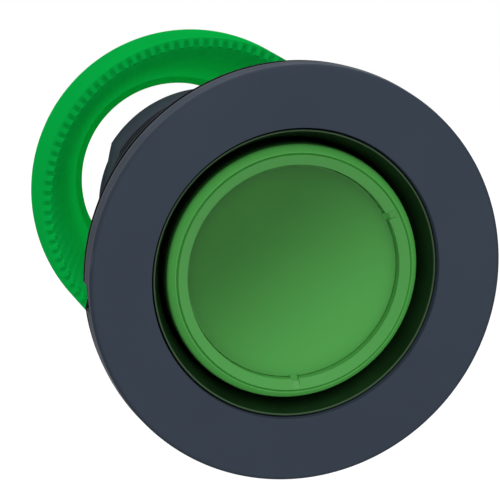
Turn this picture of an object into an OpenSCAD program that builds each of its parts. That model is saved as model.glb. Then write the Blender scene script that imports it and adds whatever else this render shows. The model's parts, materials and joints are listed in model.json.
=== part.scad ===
// Head of a flush-mounted illuminated push button, with its panel nut drawn off the back.
// The button's axis is Y: the front faces -Y, up is +Z, and Y = 0 is the front of the panel.
// A profile point is [radius, y]. An angle is measured from up, clockwise as seen from the front.

/* [Bezel and gasket] */
// Widest radius of the bezel
bezel_r = 18.05; // [17.9:0.05:19]
// Radius of the bezel's front edge
front_edge_r = 17.8; // [17.5:0.05:18.5]
// Radius of the opening in the bezel
opening_r = 12.67; // [12.6:0.01:13]
// Distance from the panel to the bezel's front edge
edge_height = 5.2; // [5:0.1:6]
// How far the face stands out at its outer edge
face_rise = 0.35; // [0.2:0.05:0.6]
// How far the face sinks towards the opening
face_dish = 1.0; // [0:0.1:1.2]
// Width of the notch in the rim of the bezel and the gasket
notch_w = 2.2; // [1:0.1:4]
// Angle of that notch
notch_angle = -92; // [-180:1:180]

/* [Body] */
// Outer radius of the barrel that passes through the panel
barrel_r = 14.97; // [14.8:0.01:15.1]
// Length of the barrel behind the panel's front
barrel_len = 36.3; // [36:0.1:38]
// Distance from the axis to the two flats on the barrel's plain end
flat_distance = 13.95; // [13.7:0.05:14.5]
// Angle that the first flat faces
flat_angle = -77.6; // [-180:0.1:180]
// Thread pitch
pitch = 1.5; // [1:0.1:2]
// Depth of the thread
thread_depth = 0.4; // [0.2:0.05:0.5]

/* [Button] */
// Outer radius of the lens cap
cap_r = 11.36; // [11:0.01:11.4]
// Distance of the inner edge of the cap's ring in front of the panel
cap_height = 2.8; // [2:0.1:4]
// How far the cap's ring rises from that edge to its groove
ring_rise = 0.45; // [0.1:0.05:0.6]
// Radius of the dished disc in the cap
disc_r = 9.5; // [9:0.05:9.6]
// How far the disc's edge lies below the ring's inner edge
disc_recess = 0.7; // [0.3:0.05:0.9]
// How deep the disc is dished
disc_dish = 0.9; // [0.2:0.1:1]
// Radius of the plunger tube
plunger_r = 8.8; // [8.6:0.05:8.8]
// Wire diameter of the return spring
wire_d = 1.1; // [0.8:0.1:1.2]
// Turns of the return spring
spring_turns = 5; // [4:1:7]

/* [Panel nut] */
// Distance of the nut's toothed face behind the panel's front
nut_y = 38.5; // [38:0.5:60]
// Widest radius of the nut
nut_r = 22.6; // [22:0.1:24]
// Radius of the nut's bore
nut_bore_r = 15.05; // [15.03:0.01:15.1]
// Number of teeth
tooth_count = 102; // [80:2:120]
// Height of a tooth
tooth_h = 0.6; // [0.5:0.1:1.5]

/* [Hidden] */

slate = [0.20, 0.22, 0.26];
black = [0.05, 0.05, 0.05];
grey = [0.45, 0.46, 0.47];
white = [0.92, 0.92, 0.90];
steel = [0.72, 0.73, 0.75];
lens_green = [0.22, 0.62, 0.24];
dark_green = [0.08, 0.30, 0.10];
nut_green = [0.02, 0.62, 0.22];

facets = 144;
fit_gap = 0.05;
running_gap = 0.08;

// Steps along the axis, front to back
edge_y = -edge_height;
opening_y = edge_y + face_dish;
bezel_step_y = edge_y + 1.9;
bezel_back_y = -1.6;
bezel_ledge_y = -3.05;
body_front_y = -2.55;
body_step_y = -1.55;
barrel_front_y = -0.1;
thread_front_y = 2.3;
flat_front_y = 23.8;
collar_front_y = opening_y + 0.45;
collar_back_y = 0.8;
rear_bore_y = 12.2;
diaphragm_front_y = 7.25;
bead_y = 12.25;
clamp_y = 13.25;
guide_y = 14.4;
guide_web_end = 19.6;
flange_y = 19.7;
flange_end = 21.2;
seat_y = 33.05;
seat_end = 34.2;
coupling_y = 34.25;
coupling_flange_end = 37.5;
recess_y = 42;
recess_end = 44.2;
neck_end = 46;
lip_back_y = -1.3;
disc_back_y = 0.2;
plate_back_y = 1;
diffuser_back_y = 2.05;
carrier_y = 2.1;
seal_y = 4.7;
plunger_y = 5.1;
skirt_end = 6;
shoulder_end = 7.2;
carrier_end = 9;
plunger_end = 36;
leg_end = 44;

// Radii
spigot_r = 14.2;
gasket_step_r = 17;
gasket_bore_r = barrel_r + fit_gap;
gasket_r = bezel_r + 0.07;
notch_r = 17.78;
lip_r = 17.02;
front_bore_r = 12.55;
cap_bore_r = 11.9;
insert_r = 12.5;
carrier_r = 10.28;
cap_wall_r = 10.35;
plate_r = 10.25;
neck_r = 11;
key_w = 2;
key_top = 9.9;
lamp_bore_r = 5.8;
sleeve_r = 6.15;
tube_bore_r = 6.2;

module turned(profile)
    rotate([-90, 0, 0]) rotate_extrude($fn = facets) polygon(profile);

module ring(inner, outer, front, back)
    turned([[inner, front], [outer, front], [outer, back], [inner, back]]);

module disc(radius, front, back)
    translate([0, front, 0]) rotate([-90, 0, 0]) cylinder(r = radius, h = back - front, $fn = facets);

module around(angle) rotate([0, angle, 0]) children();

// A block centred on X, from one height above the axis to another
module block(width, front, back, low, high)
    translate([-width / 2, front, low]) cube([width, back - front, high - low]);

// Quarter round from the face to the side, as [radius, y] points
function round_edge(r_side, y_face, size, steps) =
    [for (i = [0:steps]) let (a = 90 * i / steps)
        [r_side - size + size * sin(a), y_face + size - size * cos(a)]];

// Zigzag of thread grooves from front to back
function thread_points(crest, root, front, turns) =
    [for (k = [0:turns - 1]) for (p = [[crest, 0], [root, 0.3], [root, 0.65], [crest, 0.95]])
        [p[0], front + k * pitch + p[1] * pitch / 1.5]];

function reversed(list) = [for (i = [len(list) - 1:-1:0]) list[i]];

// One closed tube swept along a coil around Y
module coil(mean_r, wire_r, front, back, turns) {
    sides = 8;
    steps = 28;
    rings = turns * steps;
    rise = (back - front - 2 * wire_r) / rings;
    points = [for (i = [0:rings]) for (j = [0:sides - 1])
        let (a = 360 * i / steps, b = 360 * j / sides, r = mean_r + wire_r * cos(b))
            [r * sin(a), front + wire_r + rise * i + wire_r * sin(b), r * cos(a)]];
    walls = [for (i = [0:rings - 1]) for (j = [0:sides - 1]) let (k = (j + 1) % sides)
        [i * sides + j, i * sides + k, (i + 1) * sides + k, (i + 1) * sides + j]];
    start_cap = [for (j = [sides - 1:-1:0]) j];
    end_cap = [for (j = [0:sides - 1]) rings * sides + j];
    polyhedron(points, concat(walls, [start_cap, end_cap]), convexity = 10);
}

module rim_notch() {
    around(notch_angle) block(notch_w, edge_y + 0.35, 1, notch_r, bezel_r + 1);
}

module bezel_ring() {
    color(slate) difference() {
        turned(concat(
            [[opening_r, opening_y + 0.12], [opening_r + 0.12, opening_y]],
            round_edge(front_edge_r, edge_y - face_rise, 0.42, 6),
            [[bezel_r - 0.06, edge_y + 0.8], [bezel_r, edge_y + 1.4],
                [bezel_r - 0.02, bezel_step_y], [gasket_step_r, bezel_step_y],
                [gasket_step_r, bezel_back_y], [spigot_r + fit_gap, bezel_back_y],
                [spigot_r + fit_gap, bezel_ledge_y], [opening_r, bezel_ledge_y]]));
        rim_notch();
    }
}

module bezel_seal() {
    color(black) ring(12.9, 14.1, bezel_ledge_y, body_front_y);
}

module panel_gasket() {
    front_y = bezel_step_y + fit_gap;
    lip_y = barrel_front_y - fit_gap;
    color(black) difference() {
        turned([[spigot_r + fit_gap, body_step_y], [lip_r, body_step_y], [lip_r, front_y],
            [gasket_r - 0.12, front_y], [gasket_r, front_y + 0.2], [gasket_r - 0.3, -0.3],
            [gasket_r - 0.5, 0], [gasket_bore_r, 0], [gasket_bore_r, lip_y],
            [spigot_r + fit_gap, lip_y]]);
        rim_notch();
    }
}

module lens_collar() {
    rim_r = 12.3;
    throat_r = 11.75;
    throat_y = -1.1;
    color(dark_green) turned([[rim_r, collar_front_y], [insert_r - 0.05, collar_front_y],
        [insert_r, collar_front_y + 0.1], [insert_r, collar_back_y], [throat_r, collar_back_y],
        [throat_r, throat_y]]);
}

module operator_body() {
    thread_turns = 15;
    color(slate) difference() {
        turned(concat(
            [[front_bore_r, body_front_y], [spigot_r, body_front_y], [spigot_r, barrel_front_y],
                [barrel_r, barrel_front_y]],
            thread_points(barrel_r, barrel_r - thread_depth, thread_front_y, thread_turns),
            [[barrel_r, barrel_len - 0.3], [barrel_r - 0.3, barrel_len],
                [front_bore_r, barrel_len], [front_bore_r, rear_bore_y],
                [cap_bore_r, rear_bore_y], [cap_bore_r, collar_back_y + fit_gap],
                [front_bore_r, collar_back_y + fit_gap]]));
        for (turn = [0, 180]) around(flat_angle + turn)
            block(2 * barrel_r, flat_front_y, barrel_len + 1, flat_distance, barrel_r + 1);
    }
}

module sealing_diaphragm() {
    hub_r = 8.95;
    hub_end = 8.3;
    color(black) turned([[hub_r, diaphragm_front_y], [9.7, diaphragm_front_y], [10.1, 8.2],
        [10.9, 11.8], [11.4, bead_y], [insert_r, bead_y], [insert_r, clamp_y - fit_gap],
        [11.2, clamp_y - fit_gap], [10.5, bead_y + 0.15], [9.7, 8.8], [9.6, hub_end],
        [hub_r, hub_end]]);
}

module diaphragm_clamp() {
    hole_r = 11;
    color(grey) turned([[hole_r, clamp_y], [insert_r - 0.2, clamp_y], [insert_r, clamp_y + 0.2],
        [insert_r, guide_y - fit_gap], [hole_r, guide_y - fit_gap]]);
}

// The two keys of the plunger run in its slots
module plunger_guide() {
    tube_r = 12;
    color(grey) difference() {
        turned([[plunger_r + running_gap, guide_y], [insert_r, guide_y],
            [insert_r, seat_y - fit_gap], [tube_r, seat_y - fit_gap], [tube_r, guide_web_end],
            [plunger_r + running_gap, guide_web_end]]);
        for (turn = [0, 180]) around(90 + turn)
            block(key_w + 0.3, guide_y - 1, guide_web_end + 1, 0, key_top + 0.2);
    }
}

module return_spring() {
    color(steel) coil(10.35, wire_d / 2, flange_end + fit_gap, seat_y - fit_gap, spring_turns);
}

module spring_seat() {
    color(white) turned([[plunger_r + running_gap, seat_y], [insert_r, seat_y],
        [insert_r, seat_end], [plunger_r + running_gap, seat_end]]);
}

module rear_coupling() {
    bore_r = 9.6;
    flange_r = 14.2;
    recess_w = 4.2;
    recess_depth = 0.8;
    color(slate) difference() {
        turned([[bore_r, coupling_y], [insert_r, coupling_y], [insert_r, barrel_len + fit_gap],
            [flange_r, barrel_len + fit_gap], [flange_r, coupling_flange_end - 0.3],
            [flange_r - 0.3, coupling_flange_end], [neck_r, coupling_flange_end],
            [neck_r, neck_end - 0.5], [neck_r - 0.5, neck_end], [bore_r, neck_end]]);
        for (turn = [0, 180]) around(90 + turn)
            block(recess_w, recess_y, recess_end, neck_r - recess_depth, neck_r + 1);
    }
}

module lens_cap() {
    face_y = -cap_height;
    crest_y = face_y - ring_rise;
    groove_r = 10.38;
    bevel_r = 11.1;
    tab_w = 0.7;
    color(lens_green) union() {
        turned([[disc_r, face_y], [groove_r - 0.1, crest_y], [groove_r, crest_y + 0.15],
            [groove_r + 0.1, crest_y], [bevel_r, face_y], [bevel_r + 0.16, face_y + 0.2],
            [cap_r, face_y + 0.6], [cap_r, skirt_end], [cap_wall_r, skirt_end],
            [cap_wall_r, lip_back_y], [disc_r, lip_back_y]]);
        // Three small bridges from the ring to the disc
        for (angle = [-60, 60, 180]) around(angle)
            block(tab_w, face_y + 0.1, face_y + disc_recess, disc_r - 0.1, disc_r + 0.2);
    }
}

module lens_disc() {
    edge_r = disc_r - fit_gap;
    edge_depth = disc_recess - cap_height;
    flange_y = lip_back_y + fit_gap;
    steps = 14;
    color(lens_green) turned(concat(
        [for (i = [0:steps]) let (t = i / steps)
            [edge_r * t, edge_depth + disc_dish * (1 - t * t)]],
        [[edge_r, flange_y], [plate_r, flange_y], [plate_r, disc_back_y], [0, disc_back_y]]));
}

module legend_plate() {
    color(white) disc(plate_r, disc_back_y + fit_gap, plate_back_y);
}

module diffuser() {
    color(white) disc(plate_r, plate_back_y + fit_gap, diffuser_back_y);
}

module lens_carrier() {
    bore_r = 7.6;
    groove_r = 9.5;
    shoulder_r = 11.3;
    sleeve_outer_r = 8.9;
    groove_y = seal_y - 0.5;
    groove_end = seal_y + 0.5;
    shoulder_y = skirt_end + fit_gap;
    color(white) turned([[bore_r, carrier_y], [carrier_r, carrier_y], [carrier_r, groove_y],
        [groove_r, groove_y], [groove_r, groove_end], [carrier_r, groove_end],
        [carrier_r, shoulder_y], [shoulder_r, shoulder_y], [shoulder_r, shoulder_end],
        [sleeve_outer_r, shoulder_end], [sleeve_outer_r, carrier_end], [bore_r, carrier_end]]);
}

module lens_seal() {
    ring_r = 9.92;
    cord_r = 0.41;
    color(black) rotate([-90, 0, 0]) rotate_extrude($fn = facets)
        translate([ring_r, seal_y]) circle(r = cord_r, $fn = 32);
}

module plunger() {
    front_r = 7.55;
    flange_r = 11.7;
    leg_w = 7;
    color(grey) union() {
        turned([[tube_bore_r, plunger_y], [front_r, plunger_y], [front_r, carrier_end + fit_gap],
            [plunger_r, carrier_end + fit_gap], [plunger_r, flange_y], [flange_r, flange_y],
            [flange_r, flange_end], [plunger_r, flange_end], [plunger_r, plunger_end],
            [tube_bore_r, plunger_end]]);
        for (turn = [0, 180]) around(90 + turn)
            block(key_w, guide_y + 0.3, flange_y + 0.2, plunger_r - 0.5, key_top);
        // Two legs reach back to the contact blocks
        intersection() {
            ring(tube_bore_r, plunger_r - 0.1, plunger_end - 0.5, leg_end);
            block(leg_w, plunger_end - 1, leg_end + 1, -plunger_r, plunger_r);
        }
    }
}

module light_sleeve() {
    color(white) ring(lamp_bore_r, sleeve_r, plunger_y - 0.2, plunger_end - 0.2);
}

module fixing_nut() {
    cone_r = 19.9;
    rim_r = 21;
    tooth_in = 20;
    tooth_root = 20.72;
    tooth_out = 20.93;
    tooth_sunk = 0.3;
    half_pitch = 180 / tooth_count;
    cone_end = nut_y + 23.4;
    hub_y = nut_y + 23.8;
    back_y = nut_y + 27.6;
    widest_y = nut_y + 10.9;
    hub_r = 19.2;
    grips = 12;
    grip_r = 2.4;
    color(nut_green) union() {
        difference() {
            turned(concat(
                [[cone_r, nut_y + tooth_h], [rim_r, nut_y + tooth_h], [nut_r, widest_y],
                    [nut_r - 0.15, widest_y + 0.5], [nut_r - 0.7, widest_y + 0.9],
                    [hub_r + 0.6, widest_y + 1.6],
                    [hub_r, widest_y + 2.4], [hub_r, back_y - 0.6], [hub_r - 0.6, back_y],
                    [nut_bore_r + 0.5, back_y], [nut_bore_r, back_y - 0.5]],
                reversed(thread_points(nut_bore_r, nut_bore_r + 0.35, hub_y + 0.4, 2)),
                [[nut_bore_r, hub_y], [16, cone_end]]));
            for (i = [0:grips - 1]) around(i * 360 / grips)
                translate([0, widest_y + 3.2, hub_r + 1.4]) rotate([-90, 0, 0])
                    cylinder(r = grip_r, h = back_y, $fn = 32);
        }
        // Ring of teeth that bites on the back of the panel
        translate([0, nut_y, 0]) rotate([-90, 0, 0])
            linear_extrude(tooth_h + tooth_sunk) difference() {
                circle(r = tooth_out, $fn = facets);
                polygon([for (i = [0:tooth_count - 1]) for (p = [[tooth_in, -0.5], [tooth_in, 0.42],
                        [tooth_root, 0.58], [tooth_root, 1.34]])
                    let (a = half_pitch * (2 * i + p[1])) [p[0] * cos(a), p[0] * sin(a)]]);
            }
    }
}

bezel_ring();
bezel_seal();
panel_gasket();
lens_collar();
operator_body();
sealing_diaphragm();
diaphragm_clamp();
plunger_guide();
return_spring();
spring_seat();
rear_coupling();
lens_cap();
lens_disc();
legend_plate();
diffuser();
lens_carrier();
lens_seal();
plunger();
light_sleeve();
fixing_nut();
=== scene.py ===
"""Looks of the push button head and its panel nut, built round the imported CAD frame.

The button's axis is Y. Profiles are lists of (radius, y) in millimetres, and angles are in
degrees from up, clockwise as seen from the front.
"""

import json
import math

import bmesh
import bpy
from mathutils import Matrix, Vector


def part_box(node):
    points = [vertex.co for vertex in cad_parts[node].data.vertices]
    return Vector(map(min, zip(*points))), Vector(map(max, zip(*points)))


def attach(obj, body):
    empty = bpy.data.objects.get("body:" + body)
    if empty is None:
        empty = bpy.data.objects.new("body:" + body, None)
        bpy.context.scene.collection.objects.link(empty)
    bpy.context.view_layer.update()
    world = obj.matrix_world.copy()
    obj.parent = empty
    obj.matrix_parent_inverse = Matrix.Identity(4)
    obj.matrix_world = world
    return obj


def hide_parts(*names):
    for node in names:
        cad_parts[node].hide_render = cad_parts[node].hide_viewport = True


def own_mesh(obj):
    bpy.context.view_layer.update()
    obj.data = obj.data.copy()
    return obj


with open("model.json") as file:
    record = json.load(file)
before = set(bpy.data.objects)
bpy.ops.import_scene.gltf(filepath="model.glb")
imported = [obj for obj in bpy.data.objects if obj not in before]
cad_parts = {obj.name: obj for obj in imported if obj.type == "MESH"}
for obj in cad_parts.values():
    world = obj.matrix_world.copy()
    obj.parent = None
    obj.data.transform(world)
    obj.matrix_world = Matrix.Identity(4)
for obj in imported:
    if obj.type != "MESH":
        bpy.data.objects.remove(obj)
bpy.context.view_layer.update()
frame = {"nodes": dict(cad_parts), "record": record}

MM = 0.001
ROUND = 240
X, Y = 0, 1


# ---------------------------------------------------------------- sizes, in millimetres

def span(node, axis):
    """Lowest and highest place of a CAD node along one axis."""
    low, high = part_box(node)
    return low[axis] / MM, high[axis] / MM


# Places that follow the frame
BEZEL_R = span("bezel_ring", X)[1]
FACE_Y, BEZEL_BACK = span("bezel_ring", Y)
GASKET_R = span("panel_gasket", X)[1]
GASKET_FRONT, PANEL_Y = span("panel_gasket", Y)
COLLAR_R = span("lens_collar", X)[1]
COLLAR_FRONT, COLLAR_BACK = span("lens_collar", Y)
BODY_FRONT, BARREL_END = span("operator_body", Y)
CAP_R = span("lens_cap", X)[1]
CAP_CREST, CAP_BACK = span("lens_cap", Y)
DISC_FLANGE_R = span("lens_disc", X)[1]
DISC_BACK = span("lens_disc", Y)[1]
NUT_R = span("fixing_nut", X)[1]
NUT_FRONT, NUT_BACK = span("fixing_nut", Y)
COUPLING_FRONT, NECK_END = span("rear_coupling", Y)
PLUNGER_FRONT, LEG_END = span("plunger", Y)
SPRING_FRONT, SPRING_BACK = span("return_spring", Y)
DIAPHRAGM_FRONT, DIAPHRAGM_BACK = span("sealing_diaphragm", Y)

# Bezel and gasket: the plate bore is round the body, and the rim bore is round the gasket
OPENING_R = 12.67
PLATE_BORE_R = 14.25
RIM_BORE_R = 17.0
RIM_LOW_R = 17.42
NOTCH_ANGLE = -92
NOTCH_R = 17.78
HALF_NOTCH = 3.5

# Body
BARREL_R = 14.97
BARREL_FRONT = -0.1
SPIGOT_R = 14.2
FRONT_BORE_R = 12.55
CAP_BORE_R = 11.9
PITCH = 1.5
THREAD_DEPTH = 0.4
THREAD_START, THREAD_END = 2.3, 24.8
FLATS_START = 23.8
FLAT_DISTANCE = 13.95
FLAT_ANGLES = (-77.6, 102.4)

# Coupling
NECK_R = 11
NECK_BORE_R = 9.6
NECK_FLANGE_R = 14.2

# Cap and disc
RING_RISE = 0.45
CAP_FACE = CAP_CREST + RING_RISE
GROOVE_R = 10.46
CAP_INSIDE_R = 10.35
DISC_R = 9.5
DISC_RECESS = 0.7
DISC_DISH = 0.9
DISC_SEAT = -1.3
BRIDGE_ANGLES = (-60, 60, 180)

# Plunger
PLUNGER_R = 8.8
PLUNGER_BORE_R = 6.2
HALF_LEG = 24
HALF_KEY = 5.8

# Nut: the cone runs from its mouth to the front of the bore
TEETH = 102
TOOTH_DEPTH = 0.45
HUB_R = 19.2
NUT_BORE_R = 15.05
CONE_MOUTH_R = 20.0
CONE_SLOPE = 0.171
NUT_BORE_FRONT = NUT_FRONT + 23.8


# ---------------------------------------------------------------- shapes

def rounded(points, steps=5, closed=True):
    """A profile with round corners. A point is (radius, y) or (radius, y, corner size)."""
    out = []
    for i, point in enumerate(points):
        here = Vector(point[:2])
        size = point[2] if len(point) > 2 else 0
        at_end = not closed and i in (0, len(points) - 1)
        if not size or at_end:
            out.append(tuple(here))
            continue
        before = Vector(points[i - 1][:2]) - here
        after = Vector(points[(i + 1) % len(points)][:2]) - here
        if min(before.length, after.length) < 1e-6:
            out += [tuple(here)] * (steps + 3)
            continue
        reach = size / math.tan(before.angle(after) / 2)
        start = here + before.normalized() * min(reach, before.length * 0.45)
        end = here + after.normalized() * min(reach, after.length * 0.45)
        # A point on either side of the curve keeps the paler edge, partly abrasion and partly a
        # painted edge highlight, close to the corner
        out.append(tuple(here + before.normalized() * min(reach + 0.15, before.length * 0.48)))
        for k in range(steps + 1):
            t = k / steps
            out.append(tuple((1 - t) ** 2 * start + 2 * t * (1 - t) * here + t * t * end))
        out.append(tuple(here + after.normalized() * min(reach + 0.15, after.length * 0.48)))
    return out


def angle_off(angle, centre):
    """Signed difference between two angles, from -180 to 180."""
    return (angle - centre + 180) % 360 - 180


def angles_with(edges, count=ROUND):
    """Evenly spaced angles, and a close pair at each of the given edges."""
    found = [i * 360 / count for i in range(count)]
    for edge in edges:
        found += [(edge - 0.02) % 360, (edge + 0.02) % 360]
    return sorted(found)


def finish_mesh(name, mesh, sharp):
    """Turns a bmesh into a smooth shaded object whose edges over an angle stay sharp."""
    bmesh.ops.remove_doubles(mesh, verts=mesh.verts, dist=1e-7)
    bmesh.ops.recalc_face_normals(mesh, faces=mesh.faces)
    data = bpy.data.meshes.new(name)
    mesh.to_mesh(data)
    mesh.free()
    data.shade_smooth()
    data.set_sharp_from_angle(angle=math.radians(sharp))
    piece = bpy.data.objects.new(name, data)
    bpy.context.scene.collection.objects.link(piece)
    return piece


def revolve(name, profile, angles=None, closed=True, sharp=32):
    """Turns a profile round the Y axis. It may be a function that gives the profile at an angle."""
    angles = angles or [i * 360 / ROUND for i in range(ROUND)]
    mesh = bmesh.new()
    rings = []
    for angle in angles:
        across, up = math.sin(math.radians(angle)), math.cos(math.radians(angle))
        points = profile(angle) if callable(profile) else profile
        rings.append([mesh.verts.new((r * across * MM, y * MM, r * up * MM)) for r, y in points])
    count = len(rings[0])
    for i, ring in enumerate(rings):
        following = rings[(i + 1) % len(rings)]
        for j in range(count if closed else count - 1):
            k = (j + 1) % count
            mesh.faces.new((ring[j], ring[k], following[k], following[j]))
    return finish_mesh(name, mesh, sharp)


def sweep(name, path, radius, sides=12):
    """A round wire along a list of points, with flat ends."""
    mesh = bmesh.new()
    rings = []
    for i, point in enumerate(path):
        ahead = (path[min(i + 1, len(path) - 1)] - path[max(i - 1, 0)]).normalized()
        out = Vector((point.x, 0, point.z)).normalized()
        side = ahead.cross(out).normalized()
        out = side.cross(ahead)
        rings.append([mesh.verts.new(point + radius * (
            math.cos(b) * out + math.sin(b) * side))
            for b in (2 * math.pi * j / sides for j in range(sides))])
    for ring, following in zip(rings, rings[1:]):
        for j in range(sides):
            k = (j + 1) % sides
            mesh.faces.new((ring[j], ring[k], following[k], following[j]))
    mesh.faces.new(rings[0])
    mesh.faces.new(rings[-1])
    return finish_mesh(name, mesh, 40)


def stand_for(piece, node, material):
    """Lets a visual piece ride on its node's body and replace the node, and gives it the material.
    """
    record = frame["record"]
    body = next(b for b, names in record["behaviour"]["bodies"].items() if node in names)
    piece.data.materials.append(material)
    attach(piece, body)
    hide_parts(node)


def squash_with_button(piece):
    """Gives the piece its own copy of its mesh."""
    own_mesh(piece)


# ---------------------------------------------------------------- materials

def new_material(name):
    """A new material, its node tree and its shader."""
    material = bpy.data.materials.new(name)
    material.use_nodes = True
    tree = material.node_tree
    return material, tree, tree.nodes["Principled BSDF"]


def object_place(tree):
    """The shaded point in the object's own frame, in metres."""
    return tree.nodes.new("ShaderNodeTexCoord").outputs["Object"]


def object_parts(tree):
    """The X, Y and Z of the shaded point, in metres."""
    parts = tree.nodes.new("ShaderNodeSeparateXYZ")
    tree.links.new(object_place(tree), parts.inputs["Vector"])
    return parts.outputs


def object_noise(tree, scale, detail=4, rough=0.55):
    """Noise in object coordinates. The scale is per metre."""
    noise = tree.nodes.new("ShaderNodeTexNoise")
    noise.inputs["Scale"].default_value = scale
    noise.inputs["Detail"].default_value = detail
    noise.inputs["Roughness"].default_value = rough
    tree.links.new(object_place(tree), noise.inputs["Vector"])
    return noise.outputs["Fac"]


def remap(tree, source, low, high, out_low, out_high):
    """Maps one range of values evenly to another, and stops at both ends."""
    node = tree.nodes.new("ShaderNodeMapRange")
    node.inputs["From Min"].default_value = low
    node.inputs["From Max"].default_value = high
    node.inputs["To Min"].default_value = out_low
    node.inputs["To Max"].default_value = out_high
    tree.links.new(source, node.inputs["Value"])
    return node.outputs["Result"]


def mix_colour(tree, factor, first, second):
    """Mixes two colours, each a tuple or a socket."""
    node = tree.nodes.new("ShaderNodeMix")
    node.data_type = "RGBA"
    tree.links.new(factor, node.inputs[0])
    for socket, value in ((node.inputs[6], first), (node.inputs[7], second)):
        if isinstance(value, tuple):
            socket.default_value = (*value, 1)
        else:
            tree.links.new(value, socket)
    return node.outputs[2]


def product(tree, first, second):
    """Multiplies two sockets."""
    node = tree.nodes.new("ShaderNodeMath")
    node.operation = "MULTIPLY"
    tree.links.new(first, node.inputs[0])
    tree.links.new(second, node.inputs[1])
    return node.outputs["Value"]


def tinted(tree, colour, factor):
    """Multiplies a colour socket by a factor socket."""
    node = tree.nodes.new("ShaderNodeVectorMath")
    node.operation = "SCALE"
    tree.links.new(colour, node.inputs[0])
    tree.links.new(factor, node.inputs["Scale"])
    return node.outputs["Vector"]


def distance_from_axis(tree):
    """Distance of the shaded point from the Y axis, in metres."""
    flat = tree.nodes.new("ShaderNodeVectorMath")
    flat.operation = "MULTIPLY"
    flat.inputs[1].default_value = (1, 0, 1)
    tree.links.new(object_place(tree), flat.inputs[0])
    radius = tree.nodes.new("ShaderNodeVectorMath")
    radius.operation = "LENGTH"
    tree.links.new(flat.outputs["Vector"], radius.inputs[0])
    return radius.outputs["Value"]


def add_bump(tree, shader, height, strength, distance):
    """Fine relief on a shader. The distance is in metres."""
    bump = tree.nodes.new("ShaderNodeBump")
    bump.inputs["Strength"].default_value = strength
    bump.inputs["Distance"].default_value = distance
    tree.links.new(height, bump.inputs["Height"])
    tree.links.new(bump.outputs["Normal"], shader.inputs["Normal"])


def scaled(colour, factor):
    """A colour that is the given number of times as bright."""
    return tuple(min(1, c * factor) for c in colour)


def moulded(name, colour, rough, gloss=0.15, grain=0.10, spread=0.05, wear_and_highlight=1.3, metal=0.0,
            band=None, rim=None):
    """Moulded plastic, rubber or wire: slight mottling, fine grain and paler edges, partly abrasion
    and partly a painted edge highlight.

    A band is (from y, to y, share of the colour left there), a stretch of painted shade, and a rim
    is (from radius, share of the colour left low on it), in millimetres, painted shade low on the
    rim. A piece with a rim is also painted paler towards its top, painted light from above.
    """
    material, tree, shader = new_material(name)
    mottle = remap(tree, object_noise(tree, 90), 0.3, 0.7, 0, 1)
    base = mix_colour(tree, mottle, scaled(colour, 1 - spread), scaled(colour, 1 + spread))
    parts = object_parts(tree)
    if rim:
        start, share = rim
        # Painted light from above: the piece is painted paler towards its top
        painted_top_light = remap(tree, parts["Z"], -16 * MM, 16 * MM, 0.93, 1.16)
        base = tinted(tree, base, painted_top_light)
        # Painted shade on the outer rim, strongest low down
        at_rim = remap(tree, distance_from_axis(tree), start * MM, (start + 0.2) * MM, 0, 1)
        low = remap(tree, parts["Z"], 24 * MM, 2 * MM, 0, 1)
        base = mix_colour(tree, product(tree, at_rim, low), base, scaled(colour, share))
    # Painted shade: the band is painted darker
    if band:
        start, end, share = band
        after = remap(tree, parts["Y"], (start - 0.4) * MM, start * MM, 0, 1)
        before = remap(tree, parts["Y"], (end + 0.3) * MM, end * MM, 0, 1)
        base = mix_colour(tree, product(tree, after, before), base, scaled(colour, share))
    # Pointiness is 0.5 on a flat face and more on an outer edge
    edge = tree.nodes.new("ShaderNodeNewGeometry").outputs["Pointiness"]
    # Paler outer edges: partly abrasion, partly a painted edge highlight
    edge_wear_and_highlight = remap(tree, edge, 0.54, 0.62, 0, 1)
    patches = remap(tree, object_noise(tree, 700, 3), 0.35, 0.65, 0.45, 0.9)
    base = mix_colour(tree, product(tree, edge_wear_and_highlight, patches), base, scaled(colour, wear_and_highlight))
    tree.links.new(base, shader.inputs["Base Color"])
    shade = remap(tree, object_noise(tree, 400), 0.3, 0.7, rough - 0.05, rough + 0.05)
    tree.links.new(shade, shader.inputs["Roughness"])
    shader.inputs["Specular IOR Level"].default_value = gloss
    shader.inputs["Metallic"].default_value = metal
    add_bump(tree, shader, object_noise(tree, 9000, 2), grain, 0.00002)
    return material


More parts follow.
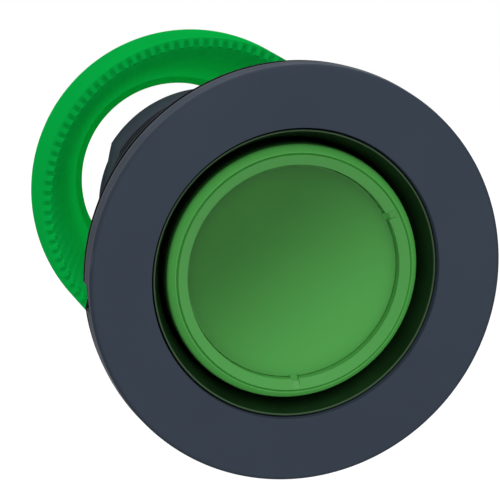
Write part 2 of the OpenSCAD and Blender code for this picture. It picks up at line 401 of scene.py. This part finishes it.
def lens_plastic(name, dark, light, glow_from, glow_to, worn_r, painted_edge_glow=0):
    """Translucent lens plastic with painted shade and light: its colour changes smoothly from dark
    at upper left to light at lower right.

    The plastic is a little paler near its rubbed edge. A painted edge glow is the strength of a
    painted glow on the outer front ring and sloping rim of the cap, and such a piece has painted
    shade down its side.
    """
    material, tree, shader = new_material(name)
    # Painted shade and light: darker towards the upper left, lighter towards the lower right
    along = tree.nodes.new("ShaderNodeVectorMath")
    along.operation = "DOT_PRODUCT"
    along.inputs[1].default_value = (0.62, 0, -0.78)
    tree.links.new(object_place(tree), along.inputs[0])
    across = tree.nodes.new("ShaderNodeMapRange")
    across.interpolation_type = "SMOOTHSTEP"
    across.inputs["From Min"].default_value = glow_from * MM
    across.inputs["From Max"].default_value = glow_to * MM
    tree.links.new(along.outputs["Value"], across.inputs["Value"])
    base = mix_colour(tree, across.outputs["Result"], dark, light)
    mottle = remap(tree, object_noise(tree, 120, 3), 0.35, 0.65, 0, 0.06)
    base = mix_colour(tree, mottle, base, scaled(light, 1.15))
    radius = distance_from_axis(tree)
    rub = remap(tree, object_noise(tree, 900, 3), 0.4, 0.6, 0, 0.35)
    at_edge = remap(tree, radius, (worn_r - 0.25) * MM, worn_r * MM, 0, 1)
    base = mix_colour(tree, product(tree, rub, at_edge), base, scaled(light, 1.2))
    shade = remap(tree, object_noise(tree, 300), 0.3, 0.7, 0.30, 0.38)
    tree.links.new(shade, shader.inputs["Roughness"])
    shader.inputs["Specular IOR Level"].default_value = 0.2
    shader.inputs["Coat Weight"].default_value = 0.05
    shader.inputs["Coat Roughness"].default_value = 0.12
    if painted_edge_glow:
        y = object_parts(tree)["Y"]
        # Painted light: a glow on the cap's front, from its groove outwards
        glow = remap(tree, radius, (GROOVE_R - 0.11) * MM, (GROOVE_R - 0.01) * MM, 0, painted_edge_glow)
        ahead = remap(tree, y, (CAP_FACE + 0.3) * MM, (CAP_FACE + 0.1) * MM, 0, 1)
        tree.links.new(product(tree, glow, ahead), shader.inputs["Emission Strength"])
        shader.inputs["Emission Color"].default_value = (*light, 1)
        # Painted shade down the cap's side
        outer = remap(tree, radius, 11.1 * MM, 11.2 * MM, 0, 1)
        below = remap(tree, y, (CAP_FACE + 0.2) * MM, (CAP_FACE + 0.4) * MM, 0, 1)
        base = mix_colour(tree, product(tree, outer, below), base, scaled(dark, 0.3))
    tree.links.new(base, shader.inputs["Base Color"])
    add_bump(tree, shader, object_noise(tree, 6000, 2), 0.05, 0.00001)
    return material


def collar_plastic():
    """Deep green clear plastic that looks nearly black, with a painted highlight along its front
    rim.
    """
    deep = (0.004, 0.015, 0.004)
    # The colour of a painted highlight along the front rim
    rim = (0.040, 0.075, 0.036)
    material, tree, shader = new_material("collar_green")
    # Painted highlight: the front rim is painted in the paler colour
    painted_rim_highlight = remap(tree, object_parts(tree)["Y"], (COLLAR_FRONT + 0.12) * MM,
                   (COLLAR_FRONT + 0.04) * MM, 0, 1)
    mottle = remap(tree, object_noise(tree, 200), 0.3, 0.7, 0, 1)
    base = mix_colour(tree, mottle, deep, scaled(deep, 1.6))
    base = mix_colour(tree, painted_rim_highlight, base, rim)
    tree.links.new(base, shader.inputs["Base Color"])
    shade = remap(tree, object_noise(tree, 500), 0.3, 0.7, 0.28, 0.36)
    tree.links.new(shade, shader.inputs["Roughness"])
    shader.inputs["Specular IOR Level"].default_value = 0.12
    add_bump(tree, shader, object_noise(tree, 5000, 2), 0.05, 0.00001)
    return material


def nut_plastic():
    """Bright green plastic with painted light inside the cone and a painted glow at its deep end,
    and a sheen on the grips at the back.
    """
    # The second colour is painted light, brighter to offset the shade inside the cone
    outer, painted_light_cone, rubbed = (0.0015, 0.285, 0.040), (0.004, 0.62, 0.095), (0.004, 0.36, 0.055)
    material, tree, shader = new_material("nut_green")
    y = object_parts(tree)["Y"]
    radius = distance_from_axis(tree)

    def after(start, end, most=1):
        """Rises from 0 to the most between two distances behind the front of the nut."""
        return remap(tree, y, (NUT_FRONT + start) * MM, (NUT_FRONT + end) * MM, 0, most)

    # The cone narrows evenly, so its radius plus its slope times Y is the same all along it
    cone = tree.nodes.new("ShaderNodeMath")
    cone.operation = "MULTIPLY_ADD"
    cone.inputs[1].default_value = CONE_SLOPE
    tree.links.new(y, cone.inputs[0])
    tree.links.new(radius, cone.inputs[2])
    on_cone = CONE_MOUTH_R + CONE_SLOPE * NUT_FRONT
    within = remap(tree, cone.outputs["Value"], (on_cone + 0.7) * MM, (on_cone + 0.3) * MM, 0, 1)
    inside = product(tree, product(tree, within, after(0.02, 0.6)), after(24.0, 23.85))
    # The front faces of the teeth are painted a little paler than the band around them: painted
    # light
    painted_tooth_light = remap(tree, radius, 21.15 * MM, 21.05 * MM, 0, 1)
    base = mix_colour(tree, product(tree, painted_tooth_light, after(1.0, 0.8)), outer, scaled(outer, 1.2))
    # Painted light: the inside of the cone takes the brighter colour
    base = mix_colour(tree, inside, base, painted_light_cone)
    rub = remap(tree, object_noise(tree, 700, 3), 0.4, 0.6, 0, 0.7)
    at_edge = remap(tree, radius, (NUT_R - 0.25) * MM, (NUT_R - 0.05) * MM, 0, 1)
    base = mix_colour(tree, product(tree, rub, at_edge), base, rubbed)
    mottle = remap(tree, object_noise(tree, 90), 0.3, 0.7, 0.96, 1.04)
    tree.links.new(tinted(tree, base, mottle), shader.inputs["Base Color"])
    shade = remap(tree, object_noise(tree, 400), 0.3, 0.7, 0.45, 0.55)
    tree.links.new(shade, shader.inputs["Roughness"])
    outside = remap(tree, inside, 0, 1, 1, 0)
    sheen = product(tree, after(11, 20, 0.08), outside)
    tree.links.new(sheen, shader.inputs["Specular IOR Level"])
    # A painted glow lights the deep end of the cone
    painted_deep_glow = product(tree, after(10, 23, 0.06), inside)
    tree.links.new(painted_deep_glow, shader.inputs["Emission Strength"])
    shader.inputs["Emission Color"].default_value = (*painted_light_cone, 1)
    add_bump(tree, shader, object_noise(tree, 9000, 2), 0.08, 0.00002)
    return material


# The slate gets painted light towards its top and painted shade low on its rim
SLATE = moulded("slate_plastic", (0.030, 0.0395, 0.0555), 0.5, gloss=0.04, wear_and_highlight=1.12,
                rim=(RIM_LOW_R, 0.75))
# The barrel's threaded stretch gets a band of painted shade
BARREL_SLATE = moulded("barrel_plastic", (0.0265, 0.0285, 0.046), 0.5, gloss=0.02, wear_and_highlight=1.15,
                       band=(THREAD_START, THREAD_END, 0.35))
RUBBER = moulded("black_rubber", (0.002, 0.0025, 0.004), 0.7, gloss=0.03, grain=0.2)
NUT_GREEN = nut_plastic()
GREY = moulded("grey_plastic", (0.20, 0.21, 0.22), 0.5)
WHITE = moulded("white_plastic", (0.68, 0.68, 0.65), 0.45, spread=0.03, wear_and_highlight=1.08)
STEEL = moulded("spring_steel", (0.55, 0.56, 0.58), 0.3, gloss=0.5, metal=1.0)
# Dark and light ends of each lens's painted shading, and the cap's painted edge glow
CAP_GREEN = lens_plastic("cap_green", (0.050, 0.24, 0.046), (0.052, 0.25, 0.047),
                         glow_from=-10, glow_to=10, worn_r=11.1, painted_edge_glow=0.3)
DISC_GREEN = lens_plastic("disc_green", (0.016, 0.113, 0.0115), (0.051, 0.268, 0.045),
                          glow_from=-6.5, glow_to=8.5, worn_r=DISC_R - 0.05)
COLLAR_GREEN = collar_plastic()


# ---------------------------------------------------------------- fixed head

def cut_notch(points, angle, front):
    """Sets the rim back at the notch, behind the given place on the axis."""
    if abs(angle_off(angle, NOTCH_ANGLE)) > HALF_NOTCH:
        return points
    return [(min(r, NOTCH_R), y) if y > front else (r, y) for r, y in points]


NOTCH_ANGLES = angles_with((NOTCH_ANGLE - HALF_NOTCH, NOTCH_ANGLE + HALF_NOTCH))


def build_bezel():
    ledge_y = FACE_Y + 2.5
    step_y = GASKET_FRONT - 0.05
    notch_y = FACE_Y + 0.7
    profile = rounded([
        (OPENING_R, ledge_y, 0.1), (OPENING_R, -4.2, 0.07), (17.76, FACE_Y, 0.32),
        (17.86, notch_y - 0.01), (17.865, notch_y + 0.01), (BEZEL_R, FACE_Y + 1.6, 0.5),
        (BEZEL_R - 0.02, step_y, 0.06), (RIM_BORE_R, step_y), (RIM_BORE_R, BEZEL_BACK),
        (PLATE_BORE_R, BEZEL_BACK), (PLATE_BORE_R, ledge_y)], steps=6)
    piece = revolve("bezel", lambda angle: cut_notch(profile, angle, notch_y), NOTCH_ANGLES)
    stand_for(piece, "bezel_ring", SLATE)


def build_gasket():
    web_front = -1.55
    profile = rounded([
        (PLATE_BORE_R, web_front), (RIM_BORE_R + 0.02, web_front),
        (RIM_BORE_R + 0.02, GASKET_FRONT), (GASKET_R - 0.02, GASKET_FRONT, 0.1),
        (GASKET_R, GASKET_FRONT + 0.3, 0.1), (GASKET_R - 0.3, -0.3, 0.1),
        (GASKET_R - 0.5, PANEL_Y, 0.08), (15.02, PANEL_Y), (15.02, -0.15), (PLATE_BORE_R, -0.15)])
    piece = revolve("panel_gasket_ring", lambda angle: cut_notch(profile, angle, FACE_Y),
                    NOTCH_ANGLES)
    stand_for(piece, "panel_gasket", RUBBER)


def build_collar():
    profile = rounded([
        (12.38, COLLAR_FRONT, 0.03), (COLLAR_R, COLLAR_FRONT, 0.02), (COLLAR_R, COLLAR_BACK),
        (11.75, COLLAR_BACK), (11.75, -1.1, 0.5)])
    stand_for(revolve("collar", profile), "lens_collar", COLLAR_GREEN)


def flat_limit(angle, y):
    """Radius of the flats at an angle, or None where there is no flat."""
    if y < FLATS_START:
        return None
    for centre in FLAT_ANGLES:
        off = angle_off(angle, centre)
        if abs(off) < 60:
            return FLAT_DISTANCE / math.cos(math.radians(off))
    return None


def groove(angle, y, start, end):
    """Depth share of a helical V groove, fading out at both ends of the thread."""
    if not start < y < end:
        return 0
    turn = ((y - start) / PITCH - angle / 360) % 1
    shape = max(0, 1 - abs(turn - 0.5) * 3.2)
    fade = min(1, (y - start) / 0.8, (end - y) / 0.8)
    return min(1, 1.25 * shape) * fade


def build_body():
    start, end = THREAD_START, THREAD_END
    steps = int((end - start) / PITCH * 12)
    thread = sorted([start + (end - start) * i / steps for i in range(steps + 1)]
                    + [FLATS_START - 0.01, FLATS_START + 0.01])
    front = [(FRONT_BORE_R, BODY_FRONT), (SPIGOT_R, BODY_FRONT), (SPIGOT_R, BARREL_FRONT),
             (BARREL_R, BARREL_FRONT)]
    back = [(BARREL_R, 35.85), (BARREL_R, 36.0), (BARREL_R - 0.1, 36.2),
            (BARREL_R - 0.3, BARREL_END), (FRONT_BORE_R, BARREL_END), (FRONT_BORE_R, 12.2),
            (CAP_BORE_R, 12.2), (CAP_BORE_R, 0.85), (FRONT_BORE_R, 0.85)]

    def profile(angle):
        worked = [(BARREL_R - THREAD_DEPTH * groove(angle, y, start, end), y) for y in thread]
        points = front + worked + back
        limits = [flat_limit(angle, y) for _, y in points]
        return [(min(r, limit) if limit and r > FRONT_BORE_R else r, y)
                for (r, y), limit in zip(points, limits)]

    half = math.degrees(math.acos(FLAT_DISTANCE / BARREL_R))
    edges = [centre + side * half for centre in FLAT_ANGLES for side in (-1, 1)]
    piece = revolve("barrel", profile, angles_with(edges), sharp=28)
    stand_for(piece, "operator_body", BARREL_SLATE)


def build_coupling():
    recess_floor = 10.2
    half_recess = math.degrees(math.asin(2.1 / NECK_R))
    flange_end = 37.5

    def profile(angle):
        neck = NECK_R
        for centre in (-90, 90):
            off = angle_off(angle, centre)
            if abs(off) < half_recess:
                neck = min(neck, recess_floor / math.cos(math.radians(off)))
        return rounded([
            (NECK_BORE_R, COUPLING_FRONT), (12.5, COUPLING_FRONT), (12.5, 36.35),
            (NECK_FLANGE_R, 36.35), (NECK_FLANGE_R, flange_end, 0.3), (NECK_R, flange_end, 0.2),
            (NECK_R, 42), (neck, 42.01), (neck, 44.19), (NECK_R, 44.2), (NECK_R, NECK_END, 0.5),
            (NECK_BORE_R, NECK_END, 0.2)])

    edges = [c + side * half_recess for c in (-90, 90) for side in (-1, 1)]
    piece = revolve("coupling", profile, angles_with(edges))
    stand_for(piece, "rear_coupling", SLATE)


def build_diaphragm():
    profile = rounded([
        (8.95, DIAPHRAGM_FRONT, 0.15), (9.7, DIAPHRAGM_FRONT, 0.2), (10.1, 8.2, 0.6),
        (10.9, 11.8, 0.5), (11.4, 12.25, 0.2), (12.5, 12.25), (12.5, DIAPHRAGM_BACK),
        (11.2, DIAPHRAGM_BACK, 0.2), (10.5, 12.4, 0.5), (9.7, 8.8, 0.4), (9.6, 8.3), (8.95, 8.3)])
    piece = revolve("diaphragm", profile)
    stand_for(piece, "sealing_diaphragm", RUBBER)
    squash_with_button(piece)


def build_spring():
    wire = 0.55
    mean_r = 10.35
    turns = 5
    closed_part = 0.12
    closed_pitch = 0.35
    steps = turns * 48
    low, high = SPRING_FRONT + wire, SPRING_BACK - wire

    def height(t):
        """The end turns lie close, and the middle ones are open."""
        if t < closed_part:
            return closed_pitch * t
        if t > 1 - closed_part:
            return 1 - closed_pitch * (1 - t)
        edge = closed_pitch * closed_part
        return edge + (1 - 2 * edge) * (t - closed_part) / (1 - 2 * closed_part)

    path = []
    for i in range(steps + 1):
        a = 2 * math.pi * turns * i / steps
        y = low + (high - low) * height(i / steps)
        path.append(Vector((mean_r * math.sin(a), y, mean_r * math.cos(a))) * MM)
    piece = sweep("spring_wire", path, wire * MM)
    stand_for(piece, "return_spring", STEEL)
    squash_with_button(piece)


# ---------------------------------------------------------------- button

def build_cap():
    half_bridge = 2.0

    def profile(angle):
        # A bridge is a small ramp from the ring down to the disc, faint at the upper left
        reach = 0
        for centre in BRIDGE_ANGLES:
            if abs(angle_off(angle, centre)) < half_bridge:
                reach = 0.02 if centre < 0 else 0.2
        top, foot = DISC_R + reach, DISC_R - reach
        return rounded([
            (top, CAP_FACE, 0.04), (GROOVE_R - 0.12, CAP_CREST, 0.03), (GROOVE_R, CAP_CREST + 0.32),
            (GROOVE_R + 0.1, CAP_CREST, 0.03), (11.04, CAP_FACE, 0.1), (11.22, CAP_FACE + 0.25),
            (CAP_R, CAP_FACE + 0.7, 0.1), (CAP_R, CAP_BACK, 0.1), (CAP_INSIDE_R, CAP_BACK),
            (CAP_INSIDE_R, DISC_SEAT), (DISC_R, DISC_SEAT), (DISC_R, -2.06), (foot, -2.06)])

    edges = [c + side * half_bridge for c in BRIDGE_ANGLES for side in (-1, 1)]
    piece = revolve("cap_ring", profile, angles_with(edges), sharp=24)
    stand_for(piece, "lens_cap", CAP_GREEN)


def build_disc():
    edge_r = DISC_R - 0.05
    edge_y = CAP_FACE + DISC_RECESS
    steps = 24
    dish = [(edge_r * i / steps, edge_y + DISC_DISH * (1 - (i / steps) ** 2))
            for i in range(steps + 1)]
    flange_front = DISC_SEAT + 0.05
    profile = dish + [(edge_r, flange_front), (DISC_FLANGE_R, flange_front),
                      (DISC_FLANGE_R, DISC_BACK), (0, DISC_BACK)]
    piece = revolve("dished_disc", profile, closed=False)
    stand_for(piece, "lens_disc", DISC_GREEN)


def build_plunger():
    def profile(angle):
        leg = any(abs(angle_off(angle, c)) < HALF_LEG for c in (0, 180))
        key = any(abs(angle_off(angle, c)) < HALF_KEY for c in (-90, 90))
        end = LEG_END if leg else 36
        key_r = 9.9 if key else PLUNGER_R
        return rounded([
            (PLUNGER_BORE_R, PLUNGER_FRONT), (7.55, PLUNGER_FRONT), (7.55, 9.05),
            (PLUNGER_R, 9.05, 0.1), (PLUNGER_R, 14.7), (key_r, 14.7), (key_r, 19.7),
            (11.7, 19.7, 0.15), (11.7, 21.2, 0.15), (PLUNGER_R, 21.2), (PLUNGER_R, 35.5),
            (PLUNGER_R - 0.1, 35.6), (PLUNGER_R - 0.1, end, 0.25), (PLUNGER_BORE_R, end, 0.25)])

    edges = [c + side * HALF_LEG for c in (0, 180) for side in (-1, 1)]
    edges += [c + side * HALF_KEY for c in (-90, 90) for side in (-1, 1)]
    piece = revolve("plunger_tube", profile, angles_with(edges))
    stand_for(piece, "plunger", GREY)


# ---------------------------------------------------------------- nut

def tooth_gap(angle):
    """Share of a gap between two teeth: 0 on a tooth and 1 in a gap, with eased flanks."""
    phase = (angle * TEETH / 360) % 1
    rise = min(1, max(0, (abs(phase - 0.5) - 0.2) / 0.14))
    return rise * rise * (3 - 2 * rise)


def grip_outer(angle):
    """Radius of the nut's hub, hollowed by twelve round finger grips."""
    centre_r, cut = 20.6, 2.4
    off = math.radians(angle_off(angle, round(angle / 30) * 30))
    inside = cut ** 2 - (centre_r * math.sin(off)) ** 2
    if inside <= 0:
        return HUB_R
    return min(HUB_R, centre_r * math.cos(off) - math.sqrt(inside))


def build_nut():
    bore = NUT_BORE_R
    widest = NUT_FRONT + 10.9
    start, end = NUT_BORE_FRONT + 0.35, NUT_BACK - 0.5
    thread = [end + (start - end) * i / 22 for i in range(23)]
    shell = rounded([
        (21.12, NUT_FRONT, 0.08), (NUT_R, widest, 0.9), (19.9, widest + 1.5, 0.6),
        (HUB_R, widest + 3.0)], closed=False)

    def profile(angle):
        gap = TOOTH_DEPTH * tooth_gap(angle)
        grip = grip_outer(angle)
        back = rounded([
            (HUB_R, widest + 3.15), (grip, widest + 3.35), (grip, NUT_BACK, 0.6),
            (bore + 0.5, NUT_BACK, 0.1), (bore + 0.02, end + 0.1)], closed=False)
        worked = [(bore + 0.35 * groove(angle, y, start, end), y) for y in thread]
        front = rounded([
            (bore, start - 0.2), (bore, NUT_BORE_FRONT, 0.15), (16.0, NUT_FRONT + 23.4, 0.25),
            (CONE_MOUTH_R - 0.1, NUT_FRONT + 0.6)], closed=False)
        teeth = [(CONE_MOUTH_R - 0.06, NUT_FRONT + 0.1 + gap),
                 (CONE_MOUTH_R + 0.04, NUT_FRONT + gap),
                 (20.55, NUT_FRONT + 0.5 * gap), (21.03, NUT_FRONT)]
        return shell + back + worked + front + teeth

    # Twelve steps for each tooth
    samples = TEETH * 12
    piece = revolve("panel_nut", profile, [i * 360 / samples for i in range(samples)], sharp=40)
    stand_for(piece, "fixing_nut", NUT_GREEN)


# ---------------------------------------------------------------- kept CAD pieces

def dress_kept_nodes():
    """Puts the materials on the pieces that stay as they are in the CAD."""
    looks = {
        "bezel_seal": RUBBER, "lens_seal": RUBBER, "diaphragm_clamp": GREY, "plunger_guide": GREY,
        "spring_seat": WHITE, "legend_plate": WHITE, "diffuser": WHITE, "lens_carrier": WHITE,
        "light_sleeve": WHITE}
    for name, material in looks.items():
        data = frame["nodes"][name].data
        data.materials.clear()
        data.materials.append(material)


# ---------------------------------------------------------------- studio

CAMERA_AZIMUTH = -13.37
CAMERA_ELEVATION = 11.85
CAMERA_DISTANCE = 73.7
CAMERA_LENS = 63.36
SENSOR_WIDTH = 36
# The camera's axis passes this far to the left of and above the bezel's centre
AIM_LEFT = 4.57
AIM_UP = 2.60
FLOOR_Z = -0.16


def view_axes():
    """The camera's right, up and backward directions."""
    a, e = math.radians(CAMERA_AZIMUTH), math.radians(CAMERA_ELEVATION)
    back = Vector((math.sin(a) * math.cos(e), -math.cos(a) * math.cos(e), math.sin(e)))
    right = Vector((math.cos(a), math.sin(a), 0))
    return right, back.cross(right), back


def add_camera():
    right, up, back = view_axes()
    centre = Vector((0, (FACE_Y + 0.35) * MM, 0))
    aim = centre + (AIM_UP * up - AIM_LEFT * right) * MM
    camera = bpy.data.objects.new("camera", bpy.data.cameras.new("camera"))
    camera.data.lens = CAMERA_LENS
    camera.data.sensor_width = SENSOR_WIDTH
    camera.data.clip_start = 0.005
    camera.matrix_world = Matrix.Translation(aim + back * CAMERA_DISTANCE * MM) @ Matrix(
        (right, up, back)).transposed().to_4x4()
    bpy.context.scene.collection.objects.link(camera)
    bpy.context.scene.camera = camera


def add_sun(name, towards, strength, spread):
    """A soft distant light that shines from the given direction."""
    light = bpy.data.objects.new(name, bpy.data.lights.new(name, "SUN"))
    light.data.energy = strength
    light.data.angle = math.radians(spread)
    light.rotation_euler = Vector(towards).to_track_quat("Z", "Y").to_euler()
    bpy.context.scene.collection.objects.link(light)


def add_studio():
    """A white floor and world, and one soft light."""
    mesh = bmesh.new()
    bmesh.ops.create_grid(mesh, x_segments=8, y_segments=8, size=3)
    floor = finish_mesh("floor", mesh, 30)
    floor.location = (0, 0, FLOOR_Z)
    material, tree, shader = new_material("floor_white")
    shade = remap(tree, object_noise(tree, 3), 0.3, 0.7, 0.78, 0.81)
    tree.links.new(shade, shader.inputs["Base Color"])
    shader.inputs["Roughness"].default_value = 0.9
    floor.data.materials.append(material)

    world = bpy.data.worlds.new("studio")
    world.use_nodes = True
    world.node_tree.nodes["Background"].inputs["Color"].default_value = (1, 1, 1, 1)
    world.node_tree.nodes["Background"].inputs["Strength"].default_value = 1.0
    bpy.context.scene.world = world
    add_sun("key", (0.05, -0.4, 0.9), 1.3, 45)
    bpy.context.scene.view_settings.view_transform = "Standard"


add_camera()
build_bezel()
build_gasket()
build_collar()
build_body()
build_coupling()
build_diaphragm()
build_spring()
build_cap()
build_disc()
build_plunger()
build_nut()
dress_kept_nodes()
add_studio()
